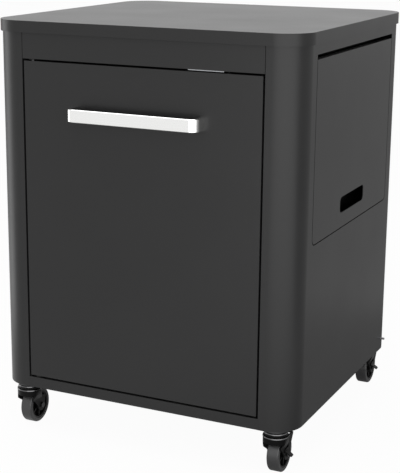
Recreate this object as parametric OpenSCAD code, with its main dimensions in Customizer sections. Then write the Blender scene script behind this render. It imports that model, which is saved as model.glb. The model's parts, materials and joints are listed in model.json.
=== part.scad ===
// Rolling outdoor kitchen work table: a folded-sheet cabinet with a hinged door, a fold-up side shelf,
// a tray-shaped worktop and four swivel casters. Origin on the floor under the middle, front at -Y.

/* [Cabinet body] */
// Width of the cabinet over its side panels
body_w = 627; // [580:1:700]
// Depth of the cabinet from its front face to its rear face
body_d = 592; // [560:1:660]
// Height of the cabinet without worktop and casters
body_h = 704; // [660:1:780]
// Outer radius of the four upright corners
corner_r = 55; // [50:1:60]
// Thickness of the folded sheet
sheet = 1.5; // [1:0.1:2]
// Width of each front column, corner included
column_w = 67; // [64:1:80]
// Depth of the flange that each column turns in beside the door
jamb_d = 25; // [22:1:30]
// Width of each rear strip, corner included
rear_strip_w = 80; // [75:1:100]
// Gap where one panel slips inside another
fit = 0.3; // [0.1:0.1:0.5]

/* [Worktop] */
// Height of the worktop's edge
worktop_t = 22; // [18:1:30]
// How far the worktop stands out past the cabinet
overhang = 4; // [2:0.5:6]
// Thickness of the worktop's sheet
worktop_sheet = 2; // [1.5:0.1:3]
// Width of the lip folded in under the worktop
worktop_lip = 22; // [18:1:30]
// Depth of the ribs under the worktop
rib_h = 14; // [8:1:15]
// Width of the ribs under the worktop
rib_w = 60; // [40:1:80]
// Distance of each rib from the middle
rib_y = 130; // [80:5:180]

/* [Frame and floor] */
// Height of the web round the top frame
frame_h = 12; // [10:1:12]
// Width of the top frame's flange
frame_lip = 30; // [26:1:40]
// Height of the rail above the door
fascia_h = 48.5; // [40:0.5:60]
// Depth of that rail's lower flange
fascia_d = 45; // [43:1:60]
// Height of the turned-up edge behind the lower flange
fascia_up = 18; // [10:1:20]
// Seam between the upper rail and each column
seam = 1; // [0.5:0.1:1.5]
// Height of the rail below the door
sill_h = 21.5; // [20:0.5:30]
// Depth of that rail's top flange
sill_d = 36; // [34:1:40]
// Thickness of the base plate that carries the casters
base_t = 2; // [1.5:0.1:3]
// Height of the floor's turned-up side flanges
floor_up = 15; // [12:1:20]
// Height of the side screws above the cabinet's lower edge
side_screw_up = 25; // [25:0.5:30]
// Number of screws up each rear strip
rear_screws_n = 4; // [3:1:6]

/* [Door] */
// Thickness of the door
door_t = 20; // [18:1:22]
// Gap round the door
door_gap = 4; // [3.5:0.1:5]
// Distance of the pivot axis from the door's hinged edge
pivot_in = 14; // [12:0.5:16]
// Distance of the pivot axis behind the door's face
pivot_back = 10; // [9:0.5:11]
// Diameter of the pivot pins
pivot_d = 8; // [6:0.5:9]
// Radial running clearance of pins, stems and axles
run = 0.06; // [0.03:0.01:0.1]
// Width of each channel inside the door
channel_w = 40; // [30:1:50]
// Distance of each channel from the door's middle
channel_x = 80; // [60:1:90]

/* [Handle] */
// Length of the bar handle over its bends
handle_w = 269; // [240:1:300]
// Height of the bar
handle_h = 24; // [20:1:36]
// How far the handle stands out of the door
handle_out = 32; // [28:1:45]
// Thickness of the bar
handle_t = 8; // [7:0.5:10]
// Outer radius of the bends
handle_bend = 17; // [11:0.5:18]
// Width of the bevel along the bar's edges
handle_bevel = 1; // [0.5:0.1:1.5]
// Distance from the door's top edge down to the middle of the bar
handle_drop = 92; // [60:1:200]
// How far the handle sits right of the door's middle
handle_side = -3; // [-10:0.5:10]

/* [Magnetic catch] */
// Distance of the catch from the middle of the door
catch_x = 133; // [100:1:180]
// Length of the catch's bracket
catch_w = 70; // [60:1:90]
// Thickness of the bracket
catch_t = 1.8; // [1.2:0.1:2]
// Length, depth and height of the magnet
magnet = [48, 10, 15];
// Thickness of the strike plate on the door
strike_t = 1.2; // [1:0.1:2]

/* [Side shelf] */
// Length of the side shelf, front to back
shelf_l = 438; // [400:1:450]
// Width of the side shelf, top to bottom when it hangs
shelf_w = 335.5; // [280:0.5:380]
// Depth of the shelf's folded rim
shelf_t = 12; // [11:0.5:13]
// Distance from the cabinet's top down to the shelf
shelf_drop = 28; // [27:1:40]
// Gap round the shelf's sides and lower edge
shelf_gap = 2; // [1:0.1:3]
// Height of the open slot above the shelf
slot_h = 9; // [8:0.5:10]
// Radius of the shelf's two lower corners
shelf_r = 12; // [8:1:20]
// Distance of the hinge axis below the shelf's top edge
hinge_down = 12; // [11:0.5:13]
// Distance of the hinge axis behind the shelf's face
hinge_in = 10; // [9:0.5:11]
// Diameter of the hinge pins
hinge_d = 6; // [5:0.5:7]
// Radius of the lugs round the hinge pins
lug_r = 8; // [7:0.5:9]
// Length of the hand hole
hole_l = 140; // [100:1:160]
// Height of the hand hole
hole_h = 31; // [22:1:35]
// Radius of the hand hole's corners
hole_r = 9; // [4:0.5:10]
// Distance from the shelf's lower edge up to the hand hole
hole_up = 28.5; // [25:0.5:60]
// Depth of the recess behind the shelf's face
recess_d = 24; // [24:1:40]
// How far the recess reaches behind the edges of the side panel's window
recess_lap = 3; // [2:0.5:4]
// Width of the recess pan's fixing flange
recess_flange = 12; // [8:1:14]

/* [Casters] */
// Height of a caster from the floor to the base plate
caster_h = 96; // [94:1:110]
// Diameter of a wheel
wheel_d = 72; // [60:1:73]
// Width of a tyre
tyre_w = 24; // [18:1:26]
// Thickness of a tyre
tyre_t = 8; // [5:0.5:10]
// Distance of a wheel's axle behind its swivel axis
trail = 19; // [15:1:24]
// Distance of a swivel axis from the cabinet's side
caster_x = 44; // [40:1:60]
// Distance of a swivel axis from the cabinet's front or rear
caster_y = 35; // [33:1:60]
// Diameter of the fork's round crown
crown_d = 49; // [46:1:52]
// Thickness of the fork's pressed steel
fork_t = 2.5; // [2:0.1:3]
// Diameter of an axle
axle_d = 8; // [6:0.5:9]
// Diameter of a stem
stem_d = 10; // [8:0.5:11]
// Depth of the skirt at the front of the fork
skirt_h = 13; // [8:1:16]
// Diameter of a bearing ball
ball_d = 5; // [4:0.5:5.5]
// Number of balls in each bearing
ball_n = 12; // [8:1:14]

/* [Hidden] */

$fn = 64;
eps = 0.01;
charcoal = "#3b3b3c";
inner_grey = "#57585a";
zinc = "#b9bcc0";
chrome = "#e4e4e6";
black = "#1c1c1d";
rubber = "#2c2c2d";
nylon = "#d8d5cc";

wheel_r = wheel_d / 2;
rear_reach = max(overhang, trail + wheel_r - caster_y);
front_y = -(body_d + rear_reach - handle_out) / 2;
back_y = front_y + body_d;
mid_y = (front_y + back_y) / 2;
half_w = body_w / 2;
base_z = caster_h;
top_z = base_z + body_h;

column_in = half_w - column_w;
fascia_z = top_z - fascia_h;
sill_z = base_z + sill_h;
floor_z = sill_z - sheet;
door_x = column_in - door_gap;
door_z0 = sill_z + door_gap;
door_z1 = fascia_z - door_gap;
pivot_x = pivot_in - door_x;
pivot_y = front_y + pivot_back;
handle_z = door_z1 - handle_drop;

shelf_z1 = top_z - shelf_drop;
shelf_z0 = shelf_z1 - shelf_w;
hinge_x = half_w - hinge_in;
hinge_z = shelf_z1 - hinge_down;
window_y = shelf_l / 2 + shelf_gap;
window_z0 = shelf_z0 - shelf_gap;
window_z1 = shelf_z1 + slot_h;
pan_y = window_y + recess_lap;
pan_z0 = window_z0 - recess_lap;
pan_back = half_w - recess_d;

screw_r = 2;
screw_head_r = 4;
screw_head_h = 2.2;

/* Shapes that repeat */

module rounded(w, d, r) {
    square([w - 2 * r, d], center = true);
    square([w, d - 2 * r], center = true);
    for (x = [-1, 1], y = [-1, 1])
        translate([x * (w / 2 - r), y * (d / 2 - r)]) circle(r = r);
}

// Plan of the cabinet, drawn in by a distance on every side
module plan(inset) {
    translate([0, mid_y]) rounded(body_w - 2 * inset, body_d - 2 * inset, corner_r - inset);
}

module ring_plan(outer, inner) {
    difference() {
        plan(outer);
        plan(inner);
    }
}

// A channel open on one side: its web lies at z = 0 and its two flanges stand up
module channel(l, w, h) {
    translate([-l / 2, -w / 2, 0]) cube([l, w, sheet]);
    for (y = [-w / 2, w / 2 - sheet])
        translate([-l / 2, y, 0]) cube([l, sheet, h]);
}

// A round-headed screw: its head stands on z = 0 and its shank goes down
module screw(shank, r = screw_r, head_r = screw_head_r, head_h = screw_head_h) {
    cylinder(r = head_r, h = head_h);
    translate([0, 0, -shank]) cylinder(r = r, h = shank + eps);
}

module hex(across, h) {
    cylinder(d = across / cos(30), h = h, $fn = 6);
}

/* Worktop and top frame */

module worktop() {
    color(charcoal) translate([0, 0, top_z]) difference() {
        linear_extrude(worktop_t) plan(-overhang);
        translate([0, 0, sheet])
            linear_extrude(worktop_t - sheet - worktop_sheet) plan(worktop_sheet - overhang);
        translate([0, 0, -1]) linear_extrude(sheet + 2) plan(worktop_lip - overhang);
        worktop_screw_places() translate([0, 0, -1]) cylinder(r = screw_r + run, h = sheet + 2);
    }
}

worktop_screw_in = 11;
module worktop_screw_places() {
    for (s = [-1, 1], t = [-1, 1]) {
        translate([s * body_w / 4, mid_y + t * (body_d / 2 - worktop_screw_in), 0]) children();
        translate([s * (half_w - worktop_screw_in), mid_y + t * body_d / 5, 0]) children();
    }
}

module worktop_ribs() {
    color(inner_grey) for (y = [-rib_y, rib_y])
        translate([0, mid_y + y, top_z + worktop_t - worktop_sheet - rib_h])
            channel(body_w - 4 * worktop_lip, rib_w, rib_h);
}

module worktop_screws() {
    color(zinc) worktop_screw_places()
        translate([0, 0, top_z - sheet]) mirror([0, 0, 1]) screw(3 * sheet);
}

module top_frame() {
    color(charcoal) translate([0, 0, top_z]) difference() {
        union() {
            translate([0, 0, -sheet])
                linear_extrude(sheet) ring_plan(sheet + fit, sheet + fit + frame_lip);
            translate([0, 0, -frame_h])
                linear_extrude(frame_h) ring_plan(sheet + fit, 2 * sheet + fit);
        }
        worktop_screw_places() translate([0, 0, -sheet - 1]) cylinder(r = screw_r + run, h = sheet + 2);
    }
}

/* Side panels */

// Plan of the right-hand panel: side, both corners, the strips beside them and the door jamb
module side_plan() {
    intersection() {
        ring_plan(0, sheet);
        union() {
            translate([column_in, front_y - 1]) square([column_w + 1, body_d / 2 + 1]);
            translate([half_w - rear_strip_w, mid_y]) square([rear_strip_w + 1, body_d / 2 + 1]);
        }
    }
}

module side_sheet() {
    translate([0, 0, base_z]) linear_extrude(body_h) side_plan();
    translate([column_in, front_y, base_z + base_t])
        cube([sheet, jamb_d, body_h - base_t - frame_h]);
}

module side_screw_hole() {
    translate([half_w - 2 * sheet, side_screw_y, side_screw_z])
        rotate([0, 90, 0]) cylinder(r = screw_r + run, h = 3 * sheet);
}

// Outline of the shelf or of the window round it, drawn as seen from the side
module shelf_outline(gap, rise) {
    r = shelf_r + gap;
    w = shelf_l / 2 + gap;
    translate([-w, shelf_z0 - gap + r]) square([2 * w, shelf_w + gap + rise - r]);
    translate([-w + r, shelf_z0 - gap]) square([2 * (w - r), r + eps]);
    for (s = [-1, 1]) translate([s * (w - r), shelf_z0 - gap + r]) circle(r = r);
}

// Stands an outline drawn in (y, z) on its place and gives it a thickness inwards from x
module on_side(x, thickness) {
    translate([x - thickness, mid_y, 0]) rotate([90, 0, 90]) linear_extrude(thickness) children();
}

rear_screw_up = 40;
module rear_screw_places() {
    for (s = [-1, 1], i = [0 : rear_screws_n - 1])
        translate([
            s * (half_w - (corner_r + rear_strip_w) / 2), back_y,
            base_z + base_t + rear_screw_up + i * (body_h - 3 * rear_screw_up) / (rear_screws_n - 1)
        ]) rotate([-90, 0, 0]) children();
}

module side_panel_right() {
    color(charcoal) difference() {
        side_sheet();
        on_side(half_w + 1, sheet + 2) shelf_outline(shelf_gap, slot_h);
        side_screw_hole();
        rear_screw_places() translate([0, 0, -2 * sheet]) cylinder(r = screw_r + run, h = 3 * sheet);
    }
}

module side_panel_left() {
    color(charcoal) difference() {
        mirror([1, 0, 0]) side_sheet();
        mirror([1, 0, 0]) side_screw_hole();
        rear_screw_places() translate([0, 0, -2 * sheet]) cylinder(r = screw_r + run, h = 3 * sheet);
    }
}

side_screw_y = back_y - corner_r - 4;
side_screw_z = base_z + side_screw_up;
side_screw_head_r = 2.3;
side_screw_head_h = 9;
module side_screws() {
    color(zinc) for (s = [0, 1]) mirror([s, 0, 0])
        translate([half_w, side_screw_y, side_screw_z]) rotate([0, 90, 0])
            screw(3 * sheet + 2, head_r = side_screw_head_r, head_h = side_screw_head_h);
}

/* Rear panel */

module rear_panel() {
    w = 2 * (half_w - corner_r - fit);
    color(charcoal) difference() {
        translate([-w / 2, back_y - 2 * sheet, base_z + base_t])
            cube([w, sheet, body_h - base_t - frame_h]);
        rear_screw_places() translate([0, 0, -3 * sheet]) cylinder(r = screw_r + run, h = 4 * sheet);
    }
}

module rear_screws() {
    color(zinc) rear_screw_places() screw(3 * sheet);
}

/* Rails, base and floor */

module fascia_rail() {
    w = 2 * column_in;
    color(charcoal) difference() {
        union() {
            translate([seam - w / 2, front_y, fascia_z]) cube([w - 2 * seam, sheet, fascia_h]);
            translate([seam - w / 2, front_y, fascia_z]) cube([w - 2 * seam, fascia_d, sheet]);
            translate([-w / 2, front_y + sheet, fascia_z]) cube([w, fascia_d - sheet, sheet]);
            translate([-w / 2, front_y + fascia_d - sheet, fascia_z]) cube([w, sheet, fascia_up]);
        }
        translate([pivot_x, pivot_y, fascia_z - 1]) cylinder(r = bush_r + run, h = sheet + 2);
        catch_screw_places() translate([0, 0, fascia_z - 1]) cylinder(r = screw_r + run, h = sheet + 2);
    }
}

module sill_rail() {
    w = 2 * column_in;
    color(charcoal) difference() {
        union() {
            translate([-w / 2, front_y, base_z]) cube([w, sheet, sill_h]);
            translate([-w / 2, front_y, floor_z]) cube([w, sill_d, sheet]);
        }
        translate([pivot_x, pivot_y, floor_z - 1]) cylinder(r = bush_r + run, h = sheet + 2);
    }
}

module base_plate() {
    color(charcoal) difference() {
        translate([0, 0, base_z]) linear_extrude(base_t) plan(sheet + fit);
        caster_places() translate([0, 0, base_z - 1]) cylinder(r = stem_d / 2 + run, h = base_t + 2);
    }
}

// The floor lies under the sill's flange, turns up beside the side panels and down at the rear
module floor_panel() {
    front = front_y + jamb_d + fit;
    rear = back_y - 2 * sheet - fit;
    side = half_w - sheet - fit;
    color(inner_grey) difference() {
        union() {
            intersection() {
                translate([0, 0, floor_z - sheet]) linear_extrude(sheet) plan(sheet + fit);
                translate([-half_w, front, floor_z - sheet]) cube([body_w, rear - front, sheet]);
            }
            for (s = [0, 1]) mirror([s, 0, 0])
                translate([side - sheet, front_y + corner_r, floor_z - sheet])
                    cube([sheet, body_d - 2 * corner_r, floor_up + sheet]);
            translate([corner_r - half_w, rear - sheet, base_z + base_t])
                cube([body_w - 2 * corner_r, sheet, floor_z - base_z - base_t]);
        }
        side_screw_hole_deep();
        mirror([1, 0, 0]) side_screw_hole_deep();
    }
}

module side_screw_hole_deep() {
    translate([half_w - 5 * sheet, side_screw_y, side_screw_z])
        rotate([0, 90, 0]) cylinder(r = screw_r + run, h = 6 * sheet);
}

/* Recess behind the side shelf */

module recess_pan() {
    depth = half_w - sheet - pan_back;
    h = window_z1 - pan_z0;
    color(inner_grey) difference() {
        union() {
            translate([pan_back - sheet, mid_y - pan_y - sheet, pan_z0 - sheet])
                cube([depth + sheet, 2 * (pan_y + sheet), h + 2 * sheet]);
            translate([half_w - 2 * sheet, mid_y - pan_y - recess_flange, pan_z0 - recess_flange])
                cube([sheet, 2 * (pan_y + recess_flange), h + recess_flange + recess_top]);
        }
        translate([pan_back, mid_y - pan_y, pan_z0]) cube([depth + 1, 2 * pan_y, h]);
        hinge_axis() translate([0, 0, -pan_y - 2 * sheet])
            cylinder(r = hinge_bush_r + run, h = 2 * (pan_y + 2 * sheet));
    }
}
recess_top = 4;

// Along the hinge of the side shelf, with z pointing to the front and zero at its middle
module hinge_axis() {
    translate([hinge_x, mid_y, hinge_z]) rotate([90, 0, 0]) children();
}

hinge_bush_r = hinge_d / 2 + 2;
module shelf_bushes() {
    collar = pan_y - shelf_l / 2 - fit;
    color(nylon) for (s = [0, 1]) hinge_axis() mirror([0, 0, s]) difference() {
        union() {
            translate([0, 0, pan_y - collar]) cylinder(r = hinge_bush_r + 2, h = collar);
            translate([0, 0, pan_y - eps]) cylinder(r = hinge_bush_r, h = 2 * sheet + eps);
        }
        translate([0, 0, pan_y - collar - 1]) cylinder(r = hinge_d / 2 + run, h = collar + 2 * sheet + 2);
    }
}

bumper_r = 6;
module shelf_bumpers() {
    reach = recess_d - shelf_t - fit;
    color(rubber) for (s = [-1, 1])
        translate([pan_back, mid_y + s * shelf_l / 3, shelf_z0 + bumper_r / 2])
            rotate([0, 90, 0]) cylinder(r = bumper_r, h = reach);
}

/* Door */

module door_box(y0, y1) {
    translate([-door_x, front_y + y0, door_z0]) cube([2 * door_x, y1 - y0, door_z1 - door_z0]);
}

module pivot_hole(r) {
    translate([pivot_x, pivot_y, door_z0 - 1]) cylinder(r = r, h = door_z1 - door_z0 + 2);
}

module door_skin() {
    color(charcoal) difference() {
        door_box(0, door_t - sheet);
        translate([sheet - door_x, front_y + sheet, door_z0 + sheet])
            cube([2 * (door_x - sheet), door_t, door_z1 - door_z0 - 2 * sheet]);
        pivot_hole(pivot_d / 2 + run);
        handle_screw_places() translate([0, 0, -1]) cylinder(r = screw_r + run, h = sheet + 2);
    }
}

module door_back() {
    color(charcoal) door_box(door_t - sheet, door_t);
}

module door_channels() {
    margin = 30;
    color(inner_grey) for (s = [-1, 1])
        translate([s * channel_x, front_y + sheet, (door_z0 + door_z1) / 2])
            rotate([0, 90, 90]) channel(door_z1 - door_z0 - 2 * margin, channel_w, door_t - 2 * sheet);
}

plate_t = 3;
plate_l = 45;
module door_pivot_plates() {
    color(zinc) for (z = [door_z0 + sheet, door_z1 - sheet - plate_t]) difference() {
        translate([sheet - door_x, front_y + sheet, z]) cube([plate_l, door_t - 2 * sheet, plate_t]);
        pivot_hole(pivot_d / 2 + run);
    }
}

pin_reach = 8;
module pivot_pin() {
    length = sheet + plate_t + door_gap + pin_reach;
    cylinder(d = pivot_d, h = length);
    translate([0, 0, -2]) cylinder(d = pivot_d + 5, h = 2);
}

module door_pivot_pins() {
    color(zinc) {
        translate([pivot_x, pivot_y, door_z1 - sheet - plate_t]) pivot_pin();
        translate([pivot_x, pivot_y, door_z0 + sheet + plate_t]) mirror([0, 0, 1]) pivot_pin();
    }
}

bush_r = pivot_d / 2 + 2;
module door_bush(collar) {
    difference() {
        union() {
            translate([0, 0, -collar]) cylinder(r = bush_r + 2.5, h = collar);
            translate([0, 0, -eps]) cylinder(r = bush_r, h = pin_reach + eps);
        }
        translate([0, 0, -collar - 1]) cylinder(r = pivot_d / 2 + run, h = collar + pin_reach + 2);
    }
}

// The lower bush has the taller collar, because the door stands on it
module door_bushes() {
    color(nylon) {
        translate([pivot_x, pivot_y, fascia_z]) door_bush(door_gap / 2);
        translate([pivot_x, pivot_y, sill_z]) mirror([0, 0, 1]) door_bush(door_gap - fit);
    }
}

door_bumper_w = 20;
module door_bumper() {
    color(rubber) translate([door_x - 2 * door_bumper_w, front_y + door_t + fit, sill_z])
        cube([door_bumper_w, sill_d - door_t - fit - sheet, 3 * door_gap]);
}

/* Handle */

// Section of the bar: its face is at +x and its bevels are on the face's edges
module handle_section() {
    h = handle_h / 2;
    polygon([
        [0, -h], [handle_t - handle_bevel, -h], [handle_t, handle_bevel - h],
        [handle_t, h - handle_bevel], [handle_t - handle_bevel, h], [0, h]
    ]);
}

module handle_half() {
    leg = handle_out - handle_bend;
    translate([handle_w / 2 - handle_t, 0, 0]) rotate([90, 0, 0]) linear_extrude(leg) handle_section();
    translate([handle_w / 2 - handle_bend, -leg, 0]) rotate([0, 0, -90])
        rotate_extrude(angle = 90) translate([handle_bend - handle_t, 0]) handle_section();
    translate([handle_w / 2 - handle_bend, handle_t - handle_out, 0]) rotate([0, 0, -90])
        rotate([90, 0, 0]) linear_extrude(handle_w / 2 - handle_bend) handle_section();
}

handle_thread = 12;
module door_handle() {
    color(chrome) difference() {
        translate([handle_side, front_y, handle_z]) union() {
            handle_half();
            mirror([1, 0, 0]) handle_half();
        }
        handle_screw_places() translate([0, 0, -handle_thread]) cylinder(r = screw_r + run, h = handle_thread + 1);
    }
}

// Where the handle is screwed on, with z pointing into the door
module handle_screw_places() {
    for (s = [-1, 1])
        translate([handle_side + s * (handle_w - handle_t) / 2, front_y, handle_z]) rotate([-90, 0, 0]) children();
}

module handle_screws() {
    color(zinc) handle_screw_places() translate([0, 0, sheet]) screw(sheet + handle_thread - 1);
}

/* Magnetic catch */

catch_d = 40;
module catch_screw_places() {
    for (s = [-1, 1]) translate([
        catch_x + s * (catch_w / 2 - screw_head_r - 1), front_y + catch_d - screw_head_r - 1, 0
    ]) children();
}

module catch_bracket() {
    color(zinc) difference() {
        translate([catch_x - catch_w / 2, front_y + 2, fascia_z - catch_t]) cube([catch_w, catch_d - 2, catch_t]);
        catch_screw_places() translate([0, 0, fascia_z - catch_t - 1])
            cylinder(r = screw_r + run, h = catch_t + 2);
    }
}

module catch_magnet() {
    color(black) translate([
        catch_x - magnet[0] / 2, front_y + door_t + strike_t + fit, fascia_z - catch_t - magnet[2]
    ]) cube(magnet);
}

module catch_screws() {
    color(zinc) catch_screw_places() translate([0, 0, fascia_z - catch_t]) mirror([0, 0, 1])
        screw(catch_t + 3 * sheet);
}

module strike_plate() {
    h = magnet[2] - catch_t;
    color(zinc) translate([catch_x - magnet[0] / 2, front_y + door_t, door_z1 - h - 1])
        cube([magnet[0], strike_t, h]);
}

/* Side shelf */

module shelf_skin() {
    color(charcoal) difference() {
        union() {
            difference() {
                on_side(half_w, shelf_t) shelf_outline(0, 0);
                on_side(half_w - sheet, shelf_t) shelf_inner();
            }
            for (s = [0, 1]) hinge_axis() mirror([0, 0, s])
                translate([0, 0, shelf_l / 2 - sheet]) cylinder(r = lug_r, h = sheet);
        }
        hinge_axis() translate([0, 0, -shelf_l]) cylinder(r = hinge_d / 2 + run, h = 2 * shelf_l);
        on_side(half_w + 1, shelf_t) hand_hole();
    }
}

module shelf_inner() {
    r = shelf_r - sheet;
    w = shelf_l / 2 - sheet;
    z0 = shelf_z0 + sheet;
    translate([-w, z0 + r]) square([2 * w, shelf_w - 2 * sheet - r]);
    translate([-w + r, z0]) square([2 * (w - r), r + eps]);
    for (s = [-1, 1]) translate([s * (w - r), z0 + r]) circle(r = r);
}

module hand_hole() {
    translate([0, shelf_z0 + hole_up + hole_h / 2]) {
        square([hole_l - 2 * hole_r, hole_h], center = true);
        square([hole_l, hole_h - 2 * hole_r], center = true);
        for (x = [-1, 1]) for (y = [-1, 1])
            translate([x * (hole_l / 2 - hole_r), y * (hole_h / 2 - hole_r)]) circle(r = hole_r);
    }
}

module shelf_channel() {
    color(inner_grey) translate([half_w - sheet, mid_y, shelf_z0 + shelf_w * 0.55])
        rotate([0, -90, 0]) rotate([0, 0, 90])
            channel(shelf_l - 4 * shelf_r, channel_w, shelf_t - sheet);
}

hinge_plate_h = 30;
module shelf_hinge_plates() {
    color(zinc) for (s = [0, 1]) difference() {
        hinge_axis() mirror([0, 0, s]) translate([0, 0, shelf_l / 2 - sheet - plate_t]) {
            cylinder(r = lug_r, h = plate_t);
            translate([hinge_in - shelf_t, hinge_down - sheet - hinge_plate_h, 0])
                cube([shelf_t - sheet, hinge_plate_h, plate_t]);
        }
        hinge_axis() translate([0, 0, -shelf_l]) cylinder(r = hinge_d / 2 + run, h = 2 * shelf_l);
    }
}

module shelf_pins() {
    inner = shelf_l / 2 - sheet - plate_t;
    color(zinc) for (s = [0, 1]) hinge_axis() mirror([0, 0, s]) {
        translate([0, 0, inner]) cylinder(d = hinge_d, h = pan_y + 3 * sheet - inner);
        translate([0, 0, inner - 2]) cylinder(d = hinge_d + 4, h = 2);
    }
}

/* Casters */

swivels = [
    [-(half_w - caster_x), front_y + caster_y], [half_w - caster_x, front_y + caster_y],
    [-(half_w - caster_x), back_y - caster_y], [half_w - caster_x, back_y - caster_y]
];

module caster_places() {
    for (p = swivels) translate([p[0], p[1], 0]) children();
}

module at_swivel(i) {
    translate([swivels[i][0], swivels[i][1], 0]) children();
}

// Along the axle, with z pointing to the right and zero at the middle of the wheel
module at_axle(i) {
    at_swivel(i) translate([0, trail, wheel_r]) rotate([0, 90, 0]) children();
}

washer_t = 3;
nut_h = 8;
cup_h = 7.5;
cup_lap = 1.2;
cup_r = crown_d / 2 - 1;
race_r = crown_d / 2 - 3;
crown_z = base_z - cup_h - cup_lap - ball_d - 2 * fit;
skirt_z = crown_z - fork_t - skirt_h;
fork_in = tyre_w / 2 + 1.5;
fork_out = fork_in + fork_t;
fork_foot_r = 12;
shoulder_h = 27;
shoulder_z = crown_z - fork_t - shoulder_h;

module caster_washers() {
    color(zinc) caster_places() translate([0, 0, base_z + base_t]) difference() {
        cylinder(r = 2 * stem_d, h = washer_t);
        translate([0, 0, -1]) cylinder(r = stem_d / 2 + run, h = washer_t + 2);
    }
}

module caster_nuts() {
    color(zinc) caster_places() translate([0, 0, base_z + base_t + washer_t]) difference() {
        hex(16, nut_h);
        translate([0, 0, -1]) cylinder(r = stem_d / 2 + run, h = nut_h + 2);
    }
}

// A stem with its upper cup, which is bolted to the base plate and ends in a riveted head.
// The cup reaches down into the ring on the fork, so that no ball shows.
module stem(i) {
    low = crown_z - fork_t - fit;
    color(zinc) at_swivel(i) {
        translate([0, 0, low]) cylinder(d = stem_d, h = base_z + base_t + washer_t + nut_h + 2 - low);
        translate([0, 0, base_z - cup_h + 1]) cylinder(r = cup_r, h = cup_h - 1);
        translate([0, 0, base_z - cup_h - cup_lap]) cylinder(r = race_r - 1, h = cup_h + cup_lap);
        translate([0, 0, low - fork_t]) cylinder(r = 0.9 * stem_d, h = fork_t);
    }
}

module caster_balls() {
    color(chrome) caster_places() for (i = [0 : ball_n - 1]) rotate([0, 0, i * 360 / ball_n])
        translate([race_r - ball_d, 0, crown_z + fit + ball_d / 2]) sphere(d = ball_d, $fn = 24);
}

// Front view of the fork's shoulders, which draw in from the crown to the legs on a parabola
module arch(leg_x, crown_x, over) {
    n = 8;
    rise = shoulder_h + fork_t / 2;
    right = [
        for (i = [0 : n])
            [leg_x + (crown_x - leg_x) * (1 - pow(1 - i / n, 2)), shoulder_z + rise * i / n]
    ];
    side = concat([[leg_x, shoulder_z - over]], right, [[crown_x, shoulder_z + rise + over]]);
    polygon(concat(side, [for (i = [len(side) - 1 : -1 : 0]) [-side[i][0], side[i][1]]]));
}

// Side view of the shoulders, whose front edge slants back from the skirt to the legs
leg_front = -9;
module shoulder_side() {
    r = crown_d / 2 + 1;
    polygon([[-r, crown_z], [-r, skirt_z], [leg_front, shoulder_z - 1], [r, shoulder_z - 1], [r, crown_z]]);
}

// Side view of a leg, from the shoulders down to the axle
module fork_leg() {
    polygon([
        [trail - fork_foot_r, wheel_r], [leg_front, shoulder_z + 0.5], [17, shoulder_z + 0.5],
        [17, shoulder_z + 4], [trail + fork_foot_r - 1, shoulder_z + 4],
        [trail + fork_foot_r + 1.5, shoulder_z - 2], [trail + fork_foot_r, wheel_r]
    ]);
    translate([trail, wheel_r]) circle(r = fork_foot_r);
}

brake_y = 12;
brake_up = 10;
brake_z = wheel_r + brake_up;
brake_pin_r = 2.5;
brake_t = 2;
module fork(i, braked) {
    crown_r = crown_d / 2;
    color(black) at_swivel(i) difference() {
        union() {
            translate([0, 0, crown_z - fork_t]) cylinder(d = crown_d, h = fork_t);
            translate([0, 0, crown_z - eps]) difference() {
                cylinder(d = crown_d, h = ball_d + cup_lap + 2 * fit);
                translate([0, 0, -1]) cylinder(r = race_r, h = ball_d + cup_lap + 3);
            }
            intersection() {
                translate([0, 0, skirt_z]) difference() {
                    cylinder(d = crown_d, h = skirt_h + fork_t / 2);
                    translate([0, 0, -1]) cylinder(d = crown_d - 2 * fork_t, h = skirt_h + fork_t);
                }
                rotate([90, 0, 0]) linear_extrude(crown_d) arch(fork_out, crown_r, 0.5);
            }
            intersection() {
                translate([0, crown_r, 0]) rotate([90, 0, 0]) linear_extrude(crown_d) difference() {
                    arch(fork_out, crown_r, 0.5);
                    arch(fork_in, crown_r - fork_t, 2);
                }
                translate([0, 0, shoulder_z - 2]) cylinder(d = crown_d, h = shoulder_h + 2 + fork_t / 2);
                translate([-crown_r, 0, 0]) rotate([90, 0, 90]) linear_extrude(crown_d) shoulder_side();
            }
            for (x = [fork_in, -fork_out])
                translate([x, 0, 0]) rotate([90, 0, 90]) linear_extrude(fork_t) fork_leg();
            if (braked) translate([fork_out - eps, brake_y, brake_z]) rotate([0, 90, 0])
                cylinder(r = brake_pin_r, h = brake_t + fit + eps);
        }
        translate([0, 0, crown_z - fork_t - 1]) cylinder(r = stem_d / 2 + run, h = fork_t + 2);
        translate([-fork_out - 1, trail, wheel_r]) rotate([0, 90, 0])
            cylinder(r = axle_d / 2 + run, h = 2 * fork_out + 2);
    }
}

module axle(i) {
    color(zinc) at_axle(i) {
        translate([0, 0, -fork_out - 6]) cylinder(d = axle_d, h = 2 * fork_out + 6);
        translate([0, 0, fork_out]) hex(11, 3.5);
        translate([0, 0, -fork_out - 5]) hex(11, 5);
    }
}

module hub(i) {
    rim_r = wheel_r - tyre_t - run;
    color(black) at_axle(i) difference() {
        union() {
            cylinder(r = axle_d / 2 + 5, h = 2 * (fork_in - fit), center = true);
            cylinder(r = rim_r, h = 6, center = true);
            difference() {
                cylinder(r = rim_r, h = tyre_w - 2, center = true);
                cylinder(r = rim_r - 3, h = tyre_w, center = true);
            }
            for (a = [0 : 60 : 300]) rotate([0, 0, a])
                translate([axle_d / 2 + 3, -1.2, -tyre_w / 2 + 3]) cube([rim_r - axle_d / 2 - 5, 2.4, tyre_w - 6]);
        }
        cylinder(r = axle_d / 2 + run, h = 4 * fork_in, center = true);
    }
}

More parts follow.
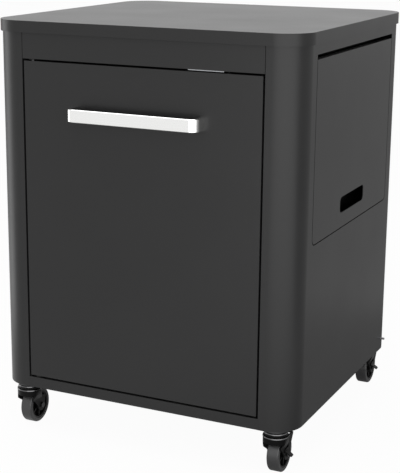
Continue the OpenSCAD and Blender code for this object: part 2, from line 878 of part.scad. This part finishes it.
tyre_edge = 3;
module tyre(i) {
    color(rubber) at_axle(i) rotate_extrude() {
        translate([wheel_r - tyre_t, -tyre_w / 2]) square([tyre_t - tyre_edge, tyre_w]);
        translate([wheel_r - tyre_t, tyre_edge - tyre_w / 2]) square([tyre_t, tyre_w - 2 * tyre_edge]);
        for (s = [-1, 1])
            translate([wheel_r - tyre_edge, s * (tyre_w / 2 - tyre_edge)]) circle(r = tyre_edge);
    }
}

// Outline of the foot tab, which starts at x = 0 and is rounded at its far end
module brake_tab() {
    l = 16;
    w = 11.6;
    r = 3.5;
    square([l - r, w]);
    translate([0, r]) square([l, w - 2 * r]);
    for (y = [r, w - r]) translate([l - r, y]) circle(r = r);
}

// A pedal plate on the fork's right leg, with a foot tab outside and a shoe over the tyre
module brake(i) {
    x = fork_out + fit;
    shoe_r = wheel_r + 3;
    shoe_a = 64;
    shoe_y = trail + shoe_r * cos(shoe_a);
    shoe_z = wheel_r + shoe_r * sin(shoe_a);
    color(black) at_swivel(i) difference() {
        union() {
            translate([x, 0, 0]) rotate([90, 0, 90]) linear_extrude(brake_t) {
                translate([brake_y, brake_z]) circle(r = brake_pin_r + 2.5);
                polygon([
                    [brake_y - 9.5, brake_z - 3], [brake_y - 9.5, brake_z + 3], [brake_y - 1, brake_z + 4.5],
                    [brake_y + 7.5, brake_z + 4.8], [shoe_y - 1, shoe_z + 3], [shoe_y + 7, shoe_z + 1],
                    [shoe_y + 6, shoe_z - 3], [trail + 10, brake_z + 1], [trail + 7.5, brake_z - 1.7],
                    [brake_y + 2, brake_z - 1.7], [brake_y, brake_z - 3]
                ]);
            }
            translate([-tyre_w / 2 + tyre_edge, shoe_y, shoe_z])
                cube([x + brake_t / 2 + tyre_w / 2 - tyre_edge, 5, 2.5]);
            translate([x + 0.3, brake_y - 8.5, brake_z - 0.5]) rotate([0, 33, 0])
                linear_extrude(brake_t) brake_tab();
        }
        translate([x - 1, brake_y, brake_z]) rotate([0, 90, 0])
            cylinder(r = brake_pin_r + run, h = brake_t + 1 + fit);
    }
}

worktop();
worktop_ribs();
worktop_screws();
top_frame();
side_panel_left();
side_panel_right();
rear_panel();
rear_screws();
fascia_rail();
sill_rail();
base_plate();
floor_panel();
side_screws();
recess_pan();
shelf_bushes();
shelf_bumpers();
door_bushes();
door_bumper();
catch_bracket();
catch_magnet();
catch_screws();
caster_washers();
caster_nuts();
caster_balls();
door_skin();
door_back();
door_channels();
door_pivot_plates();
door_pivot_pins();
door_handle();
handle_screws();
strike_plate();
shelf_skin();
shelf_channel();
shelf_hinge_plates();
shelf_pins();
stem(0);  // stem_front_left
fork(0, false);  // fork_front_left
axle(0);  // axle_front_left
hub(0);  // hub_front_left
tyre(0);  // tyre_front_left
stem(1);  // stem_front_right
fork(1, true);  // fork_front_right
axle(1);  // axle_front_right
hub(1);  // hub_front_right
tyre(1);  // tyre_front_right
stem(2);  // stem_rear_left
fork(2, false);  // fork_rear_left
axle(2);  // axle_rear_left
hub(2);  // hub_rear_left
tyre(2);  // tyre_rear_left
stem(3);  // stem_rear_right
fork(3, true);  // fork_rear_right
axle(3);  // axle_rear_right
hub(3);  // hub_rear_right
tyre(3);  // tyre_rear_right
brake(1);  // brake_front_right
brake(3);  // brake_rear_right
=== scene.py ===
import json
import math

import bpy
from mathutils import Matrix, Vector


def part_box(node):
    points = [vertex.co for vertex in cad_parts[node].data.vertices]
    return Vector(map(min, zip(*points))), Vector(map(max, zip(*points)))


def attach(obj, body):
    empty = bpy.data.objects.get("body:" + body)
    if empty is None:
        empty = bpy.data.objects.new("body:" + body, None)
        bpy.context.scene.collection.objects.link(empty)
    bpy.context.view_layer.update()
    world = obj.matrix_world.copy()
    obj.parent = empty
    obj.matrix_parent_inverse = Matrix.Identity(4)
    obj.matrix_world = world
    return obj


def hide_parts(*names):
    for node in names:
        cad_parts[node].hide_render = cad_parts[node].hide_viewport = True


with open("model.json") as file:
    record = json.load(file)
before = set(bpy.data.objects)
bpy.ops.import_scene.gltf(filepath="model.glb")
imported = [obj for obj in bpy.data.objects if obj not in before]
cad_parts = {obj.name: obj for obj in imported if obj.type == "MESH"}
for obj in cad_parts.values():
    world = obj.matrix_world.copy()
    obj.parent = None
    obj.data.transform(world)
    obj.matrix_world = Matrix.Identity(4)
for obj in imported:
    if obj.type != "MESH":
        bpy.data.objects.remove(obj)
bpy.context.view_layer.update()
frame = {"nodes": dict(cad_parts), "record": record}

NODES = frame["nodes"]
BODY_OF = {node: body for body, nodes in frame["record"]["behaviour"]["bodies"].items() for node in nodes}
SLOT_OF = {part["node"]: part["material_slot"] for part in frame["record"]["subparts"]}
MM = 0.001
CORNERS = ("front_left", "front_right", "rear_left", "rear_right")
BRAKED_CORNERS = ("front_right", "rear_right")


# Materials

class Link:
    """An output socket that ordinary operators calculate with."""

    def __init__(self, tree, socket):
        self.tree = tree
        self.socket = socket

    def math(self, operation, first, second):
        node = self.tree.nodes.new("ShaderNodeMath")
        node.operation = operation
        for slot, value in zip(node.inputs, (first, second)):
            join(self.tree, slot, value)
        return Link(self.tree, node.outputs[0])

    def __add__(self, other):
        return self.math("ADD", self, other)

    __radd__ = __add__

    def __mul__(self, other):
        return self.math("MULTIPLY", self, other)

    def __sub__(self, other):
        return self.math("SUBTRACT", self, other)

    def __rsub__(self, other):
        return self.math("SUBTRACT", other, self)

    def __pow__(self, other):
        return self.math("POWER", self, other)

    def up_to(self, other):
        return self.math("MINIMUM", self, other)

    def at_least(self, other):
        return self.math("MAXIMUM", self, other)


def join(tree, slot, value):
    """Puts a number, a colour or a link into an input socket."""
    if isinstance(value, Link):
        tree.links.new(value.socket, slot)
    elif isinstance(value, (tuple, list)) and slot.type == "RGBA" and len(value) == 3:
        slot.default_value = (*value, 1)
    else:
        slot.default_value = value


class Finish:
    """A material under construction."""

    def __init__(self, name):
        self.material = bpy.data.materials.new(name)
        self.material.use_nodes = True
        self.tree = self.material.node_tree
        self.tree.nodes.clear()
        self.place = self.add("TexCoord", out="Object")

    def add(self, kind, out=0, **values):
        """Adds a node; a socket's name is given with _ for a space."""
        node = self.tree.nodes.new("ShaderNode" + kind)
        for name, value in values.items():
            join(self.tree, node.inputs[name.replace("_", " ")], value)
        return Link(self.tree, node.outputs[out]) if node.outputs else None

    def noise(self, scale, detail=2.0, stretch=(1, 1, 1), roughness=0.5):
        """Noise with a scale in cells per metre, drawn out where stretch is small."""
        where = self.add("Mapping", Vector=self.place, Scale=stretch)
        return self.add("TexNoise", Vector=where, Scale=scale, Detail=detail, Roughness=roughness)

    def tint(self, dark, light, factor):
        mix = self.tree.nodes.new("ShaderNodeMix")
        mix.data_type = "RGBA"
        join(self.tree, mix.inputs["Factor"], factor)
        join(self.tree, mix.inputs[6], dark)
        join(self.tree, mix.inputs[7], light)
        return Link(self.tree, mix.outputs[2])

    def bump(self, height, distance):
        return self.add("Bump", Height=height, Distance=distance, Strength=1)

    def shade(self, **values):
        """Ends the material with a principled shader."""
        shader = self.add("BsdfPrincipled", **values)
        self.add("OutputMaterial", Surface=shader)
        return self.material


def powder_coat(name, colour, roughness, grain, specular=0.32):
    """Fine-textured powder coat: a close orange peel with slight clouds of shade and gloss."""
    f = Finish(name)
    clouds = f.noise(7, 3)
    peel = f.noise(650, 2) + f.noise(1900, 1) * 0.35
    shade = f.tint([c * 0.93 for c in colour], [c * 1.07 for c in colour], clouds)
    speck = f.noise(2600, 0)
    return f.shade(
        Base_Color=f.tint(shade, [c * 1.35 for c in colour], (speck - 0.62).at_least(0) * 1.5),
        Roughness=roughness + (clouds - 0.5) * 0.08 + (peel - 0.7) * 0.06,
        Specular_IOR_Level=specular,
        Normal=f.bump(peel, grain))


def coat_with_painted_sheen(name, colour, sheen_grey, height, side, roughness, specular):
    """Gloss coat with a painted sheen: lighter grey and rougher below a height (side 1) or above it (side
    -1); the lighter grey stands in for light on that part.
    """
    fade = 4 * MM
    f = Finish(name)
    z = f.add("SeparateXYZ", out="Z", Vector=f.place)
    sheen_mask = ((height - z) * (side / fade)).at_least(0).up_to(1)
    # painted sheen: the mottled lighter grey stands in for light falling on that part
    sheen_cover = (f.noise(160, 3) * 0.6 + 0.7) * sheen_mask
    return f.shade(
        Base_Color=f.tint(colour, sheen_grey, sheen_cover),
        Roughness=roughness + sheen_mask * 0.12,
        Specular_IOR_Level=specular,
        Normal=f.bump(f.noise(900, 2), 0.000006))


def brushed_metal(name, colour, roughness, along):
    """Ground metal with hair lines along one axis."""
    f = Finish(name)
    stretch = [900.0 if axis != along else 12.0 for axis in "XYZ"]
    lines = f.noise(1, 3, stretch, 0.6)
    wear = f.noise(30, 2)
    return f.shade(
        Base_Color=f.tint([c * 0.94 for c in colour], colour, lines),
        Metallic=1.0,
        Roughness=roughness + (lines - 0.5) * 0.16 + (wear - 0.5) * 0.05,
        Normal=f.bump(lines, 0.00002))


def plated_metal(name, colour, roughness):
    """Zinc plate: faint spangle and dull patches."""
    f = Finish(name)
    cells = f.add("TexVoronoi", Vector=f.place, Scale=350.0)
    patches = f.noise(90, 3)
    return f.shade(
        Base_Color=f.tint([c * 0.85 for c in colour], colour, cells * 0.6 + patches * 0.4),
        Metallic=1.0,
        Roughness=roughness + (patches - 0.5) * 0.2,
        Normal=f.bump(f.noise(1500, 2), 0.00001))


def moulded(name, colour, roughness, grain=0.00003, scale=1400, specular=0.5):
    """Moulded plastic or rubber with a fine spark-eroded grain."""
    f = Finish(name)
    skin = f.noise(scale, 2)
    dull = f.noise(60, 3)
    return f.shade(
        Base_Color=f.tint([c * 0.85 for c in colour], [c * 1.1 for c in colour], dull),
        Roughness=roughness + (dull - 0.5) * 0.12,
        Specular_IOR_Level=specular,
        Normal=f.bump(skin, grain))


FINISHES = {
    "charcoal_paint": powder_coat("charcoal powder coat", (0.0175, 0.0175, 0.0177), 0.35, 0.00003),
    "grey_paint": powder_coat("grey powder coat", (0.06, 0.06, 0.062), 0.42, 0.00003),
    "zinc": plated_metal("zinc plate", (0.40, 0.41, 0.425), 0.34),
    "side_screw_steel": plated_metal("dull zinc plate", (0.34, 0.34, 0.35), 0.38),
    "handle_steel": brushed_metal("satin stainless steel", (0.93, 0.93, 0.92), 0.17, "X"),
    "black_acetal": moulded("black acetal", (0.004, 0.004, 0.004), 0.5, specular=0.2),
    "rubber": moulded("black rubber", (0.012, 0.012, 0.012), 0.7),
    "magnet": moulded("sintered ferrite", (0.025, 0.025, 0.025), 0.55, 0.00008, 700),
    "caster_balls": plated_metal("bearing steel", (0.75, 0.75, 0.76), 0.12),
    "black_zinc": plated_metal("black zinc plate", (0.10, 0.10, 0.102), 0.22),
    # The black gloss coat is painted lighter grey below 66 mm: painted light on the casters' legs, while
    # the crown and skirt above stay black.
    "caster_black": coat_with_painted_sheen(
        "black gloss coat", (0.0015, 0.0015, 0.0015), (0.017, 0.017, 0.017), 66 * MM, 1, 0.26, 0.13),
    "wheel_core": moulded("black nylon", (0.003, 0.003, 0.003), 0.35, specular=0.3),
    "tyre": moulded("grey rubber", (0.05, 0.05, 0.051), 0.36, 0.00002, 900, 0.5),
}
FINISH_OF = {node: FINISHES[slot] for node, slot in SLOT_OF.items()}
# The recess pan takes the near-black gloss coat instead of its own paint: painted shade in the recess.
FINISH_OF["recess_pan"] = FINISHES["caster_black"]
rim_plate = plated_metal("bright black zinc plate", (0.13, 0.13, 0.132), 0.2)
# The brakes' coat is painted lighter grey above 62 mm: painted light on the arm, while the pedal below
# stays black.
lever_sheen_coat = coat_with_painted_sheen(
    "gloss coat with painted sheen", (0.003, 0.003, 0.003), (0.018, 0.018, 0.018), 62 * MM, -1, 0.3, 0.1)
for corner in BRAKED_CORNERS:
    FINISH_OF[f"brake_{corner}"] = lever_sheen_coat


# Pieces

def only(obj):
    """Selects one object and makes it the active one."""
    bpy.ops.object.select_all(action="DESELECT")
    obj.select_set(True)
    bpy.context.view_layer.objects.active = obj


# Ledge and rims of a fork's crown, as depths below the ring's top, and how far the ring steps in
LEDGE_FOOT = 9.29 * MM
LEDGE_LIP = 8.19 * MM
CROWN_RIM_FOOT = 11.19 * MM
RING_RIM_FOOT = 3.49 * MM
RING_STEP = 2.2 * MM
# Section of a bright rim in mm: outwards from the face that it lies on, and up from its foot
RIM_SECTION = ((-2, 0), (0.5, 0), (0.6, 0.15), (0.35, 0.95), (0.02, 1.8), (-2, 1.9))
RIM_TURNS = 96
# The corner of the brake's arm: within ARM_TOP of the highest point, over ARM_BACK from the rear edge
ARM_TOP = 0.2 * MM
ARM_BACK = 6 * MM
ARM_REACH = 15.5 * MM
SAME_PLACE = 0.02 * MM
FLAT_ANGLE = math.radians(0.4)
SHARP_ANGLE = math.radians(32)
SMOOTH_ANGLE = math.radians(40)


def pick(obj, wanted):
    """Selects the vertices, in edit mode, whose place passes the test."""
    bpy.ops.mesh.select_all(action="DESELECT")
    bpy.ops.object.mode_set(mode="OBJECT")
    for vertex in obj.data.vertices:
        vertex.select = wanted(vertex.co)
    bpy.ops.object.mode_set(mode="EDIT")


def crown_of(fork):
    """The middle and the radius of a fork's round crown, and the height of its ring's top."""
    low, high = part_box(fork)
    radius = (high[0] - low[0]) / 2
    return (low[0] + radius, low[1] + radius, 0), radius, high[2]


def crown_ledge(obj, fork):
    """Narrows the ring that holds the balls, so that a ledge shows round the fork's crown."""
    centre, crown_r, top = crown_of(fork)
    for depth in (LEDGE_FOOT, LEDGE_LIP):
        bpy.ops.mesh.select_all(action="SELECT")
        bpy.ops.mesh.bisect(plane_co=(0, 0, top - depth), plane_no=(0, 0, 1))
    pick(obj, lambda at: at.z > top - LEDGE_LIP - 0.01 * MM
         and math.hypot(at.x - centre[0], at.y - centre[1]) > crown_r - 0.3 * MM)
    narrow = 1 - RING_STEP / crown_r
    bpy.ops.transform.resize(value=(narrow, narrow, 1), center_override=centre)


def crown_rims(corner):
    """The two bright rims of a ball race: one on the fork's crown, one on the ring above it."""
    centre, crown_r, top = crown_of(f"fork_{corner}")
    places = (("crown", CROWN_RIM_FOOT, crown_r), ("ring", RING_RIM_FOOT, crown_r - RING_STEP))
    for name, depth, face_r in places:
        section = [(face_r + out * MM, top - depth + up * MM) for out, up in RIM_SECTION]
        verts, faces = [], []
        for turn in range(RIM_TURNS):
            angle = 2 * math.pi * turn / RIM_TURNS
            for radius, height in section:
                verts.append((centre[0] + radius * math.cos(angle),
                              centre[1] + radius * math.sin(angle), height))
            here = turn * len(section)
            there = (turn + 1) % RIM_TURNS * len(section)
            for i in range(len(section)):
                j = (i + 1) % len(section)
                faces.append((here + i, there + i, there + j, here + j))
        mesh = bpy.data.meshes.new(f"{name}_rim_{corner}")
        mesh.from_pydata(verts, [], faces)
        obj = bpy.data.objects.new(f"{name}_rim_{corner}", mesh)
        bpy.context.scene.collection.objects.link(obj)
        only(obj)
        bpy.ops.object.mode_set(mode="EDIT")
        bpy.ops.mesh.select_all(action="SELECT")
        bpy.ops.mesh.normals_make_consistent(inside=False)
        bpy.ops.object.mode_set(mode="OBJECT")
        bpy.ops.object.shade_smooth_by_angle(angle=SMOOTH_ANGLE)
        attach(obj, BODY_OF[f"fork_{corner}"])
        obj.data.materials.append(rim_plate)


def broad_arm(obj, brake):
    """Draws the top corner of the brake's arm forwards, up to the fork's crown."""
    low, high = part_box(brake)
    pick(obj, lambda at: at.z > high[2] - ARM_TOP and at.y < high[1] - ARM_BACK)
    bpy.ops.transform.translate(value=(0, -ARM_REACH, 0))


def rounded(node, width, segments=2, shape=None):
    """Puts a copy of a CAD node in its place, with its triangles joined and its sharp edges rounded."""
    obj = bpy.data.objects.new(node + "_edged", NODES[node].data.copy())
    bpy.context.scene.collection.objects.link(obj)
    only(obj)
    bpy.ops.object.mode_set(mode="EDIT")
    bpy.ops.mesh.select_all(action="SELECT")
    bpy.ops.mesh.customdata_custom_splitnormals_clear()
    bpy.ops.mesh.remove_doubles(threshold=SAME_PLACE)
    bpy.ops.mesh.dissolve_limited(angle_limit=FLAT_ANGLE)
    if shape:
        shape(obj, node)
    bpy.ops.object.mode_set(mode="OBJECT")
    edge = obj.modifiers.new("edges", "BEVEL")
    edge.width = width
    edge.segments = segments
    edge.limit_method = "ANGLE"
    edge.angle_limit = SHARP_ANGLE
    bpy.ops.object.modifier_apply(modifier="edges")
    bpy.ops.object.shade_smooth_by_angle(angle=SMOOTH_ANGLE)
    flat = obj.modifiers.new("flat", "WEIGHTED_NORMAL")
    flat.keep_sharp = True
    bpy.ops.object.modifier_apply(modifier="flat")
    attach(obj, BODY_OF[node])
    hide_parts(node)
    obj.data.materials.clear()
    obj.data.materials.append(FINISH_OF[node])


for node, obj in NODES.items():
    obj.data.materials.clear()
    obj.data.materials.append(FINISH_OF[node])

CASTER_NODES = [f"{part}_{corner}" for corner in CORNERS for part in ("stem", "axle", "hub", "tyre")]
# Width of the rounded edges in mm, and the nodes that have it
EDGE_WIDTHS = {
    0.9: "worktop",
    0.7: "door_skin",
    0.5: "side_panel_left side_panel_right fascia_rail shelf_skin door_bumper shelf_bumpers",
    0.4: "sill_rail rear_panel recess_pan base_plate top_frame worktop_ribs floor_panel door_back "
         "door_channels shelf_channel catch_magnet shelf_pins door_pivot_pins " + " ".join(CASTER_NODES),
    0.35: "shelf_hinge_plates door_pivot_plates catch_bracket door_bushes shelf_bushes "
          "worktop_screws rear_screws catch_screws handle_screws side_screws strike_plate caster_washers "
          "caster_nuts",
}
for corner in CORNERS:
    rounded(f"fork_{corner}", 0.45 * MM, shape=crown_ledge)
    crown_rims(corner)
for corner in BRAKED_CORNERS:
    rounded(f"brake_{corner}", 0.4 * MM, shape=broad_arm)
rounded("door_handle", 0.6 * MM, segments=3)
for width, nodes in EDGE_WIDTHS.items():
    for node in nodes.split():
        rounded(node, width * MM)


# Camera, light and floor

def camera_matrix(azimuth, elevation, roll, place):
    """Where a camera stands that looks from azimuth (0 is the front, 90 the right) and elevation."""
    az, el, turn = (math.radians(v) for v in (azimuth, elevation, roll))
    back = Vector((math.sin(az) * math.cos(el), -math.cos(az) * math.cos(el), math.sin(el)))
    right = Vector((0, 0, 1)).cross(back).normalized()
    up = back.cross(right)
    side = right * math.cos(turn) + up * math.sin(turn)
    top = up * math.cos(turn) - right * math.sin(turn)
    matrix = Matrix((side, top, back)).transposed().to_4x4()
    matrix.translation = place
    return matrix


# The picture's longer side, and how far the lens's axis lies left of and above its middle, in pixels
PICTURE_SIDE = 473
AXIS_LEFT = 20
AXIS_ABOVE = 10

lens = bpy.data.cameras.new("camera")
lens.lens = 96.70
lens.sensor_width = 36
lens.shift_x = AXIS_LEFT / PICTURE_SIDE
lens.shift_y = -AXIS_ABOVE / PICTURE_SIDE
lens.clip_end = 50
camera = bpy.data.objects.new("camera", lens)
bpy.context.scene.collection.objects.link(camera)
camera.matrix_world = camera_matrix(25.87, 14.02, 0.36, (1.06612, -2.31216, 1.02491))
bpy.context.scene.camera = camera


def soft_box(name, place, target, width, height, power):
    """A rectangular lamp that faces a target and doesn't show to the camera."""
    data = bpy.data.lights.new(name, "AREA")
    data.shape = "RECTANGLE"
    data.size = width
    data.size_y = height
    data.energy = power
    lamp = bpy.data.objects.new(name, data)
    bpy.context.scene.collection.objects.link(lamp)
    lamp.visible_camera = False
    lamp.location = place
    lamp.rotation_euler = (Vector(target) - Vector(place)).to_track_quat("-Z", "Y").to_euler()


soft_box("overhead", (-0.2, -0.4, 3.4), (0, 0, 0.4), 3.0, 3.0, 48.5)
soft_box("front", (1.25, -2.05, 1.25), (0, 0, 0.55), 3.2, 2.3, 18)
soft_box("right_strip", (0.68, -0.94, 0.5), (0.27, -0.25, 0.5), 1.8, 1.0, 4.4)
soft_box("left_strip", (-0.91, -0.35, 0.45), (-0.27, -0.25, 0.45), 0.33, 0.95, 1.55)


def plain(tree, kind, level):
    """A shader of one grey."""
    node = tree.nodes.new("ShaderNode" + kind)
    node.inputs["Color"].default_value = (level, level, level, 1)
    return node.outputs[0]


def mixed(tree, share, first, second):
    """A mix of two shaders, with this share of the second."""
    mix = tree.nodes.new("ShaderNodeMixShader")
    join(tree, mix.inputs[0], share)
    tree.links.new(first, mix.inputs[1])
    tree.links.new(second, mix.inputs[2])
    return mix.outputs[0]


def ray_mix(tree, seen, lit):
    """A shader that the camera and reflections see as one thing while it lights as another."""
    path = tree.nodes.new("ShaderNodeLightPath")
    camera_ray = Link(tree, path.outputs["Is Camera Ray"])
    glossy = Link(tree, path.outputs["Is Glossy Ray"])
    through = Link(tree, path.outputs["Is Transmission Ray"])
    return mixed(tree, (camera_ray + glossy + through).up_to(1), lit, seen)


world = bpy.data.worlds.new("studio")
bpy.context.scene.world = world
world.use_nodes = True
tree = world.node_tree
tree.nodes.clear()
output = tree.nodes.new("ShaderNodeOutputWorld")
sky = ray_mix(tree, plain(tree, "Background", 1), plain(tree, "Background", 0.45))
tree.links.new(sky, output.inputs["Surface"])

# The floor shows nearly white and keeps the shadow. Reflections see a painted shade on it: darker towards
# the rear, and a painted shadow round the cabinet's rear right corner, which fades out with the distance.
WHITE_SHARE = 0.96
BEHIND_LIMIT = 0.62
CORNER_LIMIT = 0.8
LEAST_PAINTED_SHADE = 0.06
CORNER = 0.25

bpy.ops.mesh.primitive_plane_add(size=30)
floor = bpy.context.active_object
floor.name = "floor"
floor.location.z = -0.5 * MM
paper = bpy.data.materials.new("pale floor")
paper.use_nodes = True
tree = paper.node_tree
tree.nodes.clear()
pale = mixed(tree, WHITE_SHARE, plain(tree, "BsdfDiffuse", 0.82), plain(tree, "Emission", 1))
place = tree.nodes.new("ShaderNodeTexCoord")
split = tree.nodes.new("ShaderNodeSeparateXYZ")
tree.links.new(place.outputs["Object"], split.inputs[0])
x, y = Link(tree, split.outputs[0]), Link(tree, split.outputs[1])
path = tree.nodes.new("ShaderNodeLightPath")
behind = ((x * 0.3 + y * 0.95) * 2).up_to(BEHIND_LIMIT)
from_corner = ((x - CORNER) * (x - CORNER) + (y - CORNER) * (y - CORNER)) ** 0.5
near = (2.1 - from_corner * 2.4).up_to(CORNER_LIMIT)
# painted shade and painted shadow on the floor, seen only by reflections
painted_floor_shade = behind.at_least(near).at_least(LEAST_PAINTED_SHADE) * Link(tree, path.outputs["Is Glossy Ray"])
seen = mixed(tree, painted_floor_shade, pale, plain(tree, "BsdfDiffuse", 0.15))
output = tree.nodes.new("ShaderNodeOutputMaterial")
tree.links.new(ray_mix(tree, seen, plain(tree, "BsdfDiffuse", 0.35)), output.inputs["Surface"])
floor.data.materials.append(paper)

bpy.context.scene.view_settings.view_transform = "Standard"
